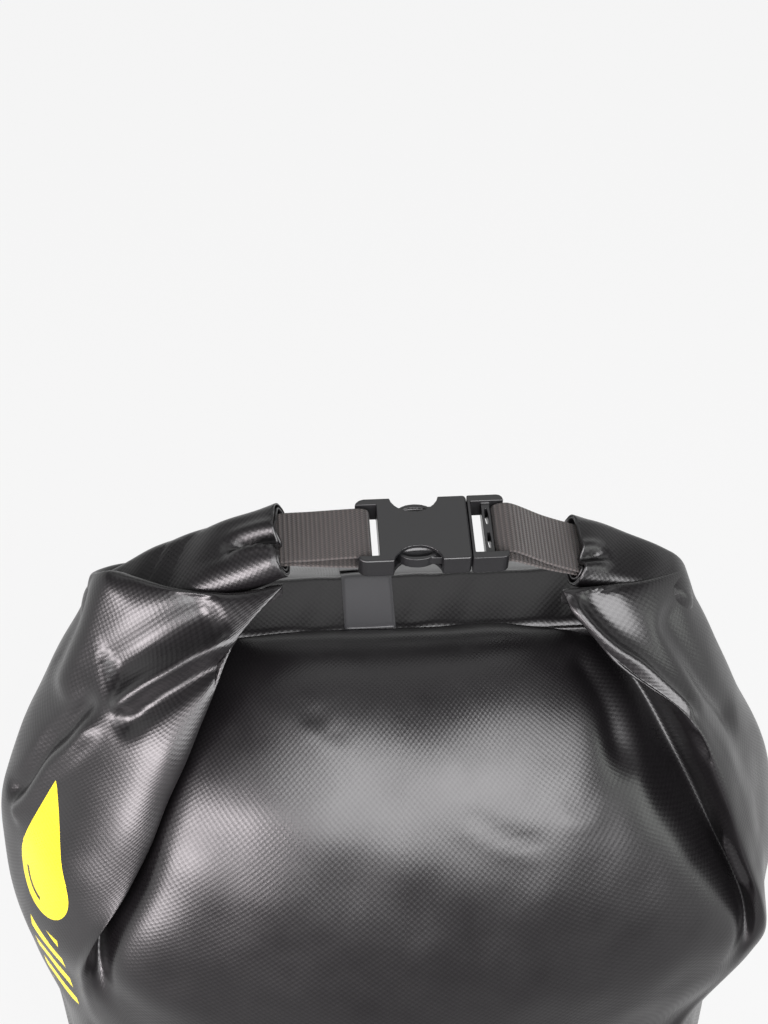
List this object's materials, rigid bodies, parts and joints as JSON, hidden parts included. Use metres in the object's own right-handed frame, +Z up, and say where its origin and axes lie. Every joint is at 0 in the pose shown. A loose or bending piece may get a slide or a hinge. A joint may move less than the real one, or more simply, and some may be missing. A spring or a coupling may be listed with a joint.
{
  "type": "dry bag",
  "caption": "Round-based coated fabric sack whose mouth is rolled down, bent into a carry loop and closed by a side-release buckle.",
  "frame": {"origin": "centre of the underside of the round base", "axes": "+Z up the bag, X along the roll, -Y the front, to which the top is rolled"},
  "size_m": [0.348, 0.2778, 0.4893],
  "materials": {
    "fabric": "satin black PVC-coated fabric with a fine woven scrim showing through",
    "seam_tape": "matt dark grey welded tape",
    "stiffener": "flexible plastic strip",
    "webbing": "ribbed dark brown-grey polypropylene webbing",
    "thread": "black bonded thread",
    "buckle": "satin black acetal"
  },
  "bodies": {
    "root": {"bag_wall": "fabric", "base_panel": "fabric", "base_weld_band": "fabric", "back_seam_tape": "seam_tape", "neck_fold": "fabric"},
    "carry_loop": {"rolled_collar": "fabric", "roll_seam_tape": "seam_tape", "front_stiffener": "stiffener", "rear_stiffener": "stiffener", "webbing_left": "webbing", "webbing_right": "webbing", "tack_left": "thread", "tack_right": "thread", "buckle_female": "buckle"},
    "male_half": {"buckle_male_frame": "buckle"},
    "prong_front_body": {"prong_front": "buckle"},
    "prong_rear_body": {"prong_rear": "buckle"}
  },
  "joints": [
    {"name": "loop_tilt", "type": "hinge", "parent": "root", "child": "carry_loop", "pos_m": [0, 0, 0.41989], "axis": [1, 0, 0], "range_deg": [-14, 12], "deforming": ["neck_fold"]},
    {"name": "buckle_slide", "type": "slide", "parent": "carry_loop", "child": "male_half", "axis": [1, 0, 0], "range_m": [0, 0.027], "deforming": ["webbing_right"]},
    {"name": "prong_front_squeeze", "type": "hinge", "parent": "male_half", "child": "prong_front_body", "pos_m": [0.02814, -0.02786, 0.47562], "axis": [0, 0.309, -0.9511], "range_deg": [0, 8], "stiffness_Nm_per_rad": 0.3},
    {"name": "prong_rear_squeeze", "type": "hinge", "parent": "male_half", "child": "prong_rear_body", "pos_m": [0.02814, -0.00428, 0.48329], "axis": [0, -0.309, 0.9511], "range_deg": [0, 8], "stiffness_Nm_per_rad": 0.3}
  ]
}
